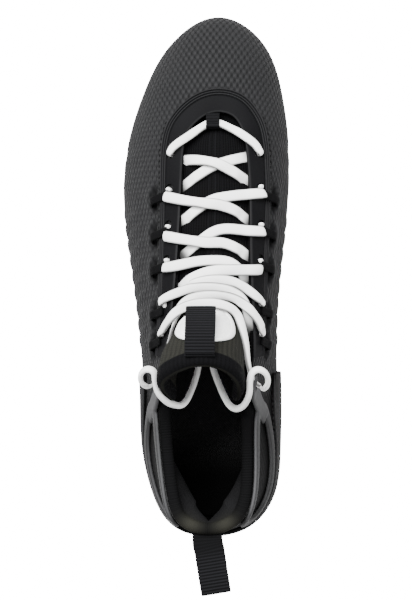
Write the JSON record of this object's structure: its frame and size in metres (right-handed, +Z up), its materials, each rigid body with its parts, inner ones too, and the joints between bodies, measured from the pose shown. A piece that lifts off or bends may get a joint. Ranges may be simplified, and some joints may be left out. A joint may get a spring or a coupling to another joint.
{
  "type": "lacrosse cleat",
  "caption": "Mid-cut lacrosse cleat for a left foot: hollow textile upper, padded tongue and collar, cable-cage lacing and a moulded studded plate, standing empty on its studs.",
  "frame": {"origin": "centre of the footprint's box, on the floor that the studs stand on", "axes": "+X to the inner side of the left foot, +Y to the toe, +Z up"},
  "size_m": [0.0951, 0.3246, 0.1362],
  "materials": {
    "plate": "satin moulded plate",
    "footbed": "matt foam with a textile top",
    "textile": "matt welded textile with raised scales",
    "tongue_mesh": "ribbed matt fabric",
    "film": "satin welded film",
    "counter_film": "satin moulded film",
    "cage_plastic": "half clear soft plastic",
    "badge_white": "plain white patch",
    "webbing": "ribbed black webbing",
    "lace_white": "braided white lace"
  },
  "bodies": {
    "root": {"outsole": "plate", "insole": "footbed", "upper": "textile", "tongue": "tongue_mesh", "eyestay": "film", "heel_counter": "counter_film", "cage_lateral": "cage_plastic", "cage_medial": "cage_plastic", "tongue_badge": "badge_white", "tongue_pull_loop": "webbing", "heel_pull_loop": "webbing", "throat_loop": "webbing", "lace_loop_lateral_2": "webbing", "lace_loop_medial_2": "webbing", "lace_loop_lateral_3": "webbing", "lace_loop_medial_3": "webbing", "lace_loop_lateral_4": "webbing", "lace_loop_medial_4": "webbing", "lace_loop_lateral_5": "webbing", "lace_loop_medial_5": "webbing", "lace_loop_lateral_6": "webbing", "lace_loop_medial_6": "webbing", "lace_start": "lace_white", "lace_cross_1": "lace_white", "lace_cross_2": "lace_white", "lace_cross_3": "lace_white", "lace_top": "lace_white", "lace_end_lateral": "lace_white", "lace_end_medial": "lace_white"}
  },
  "joints": []
}
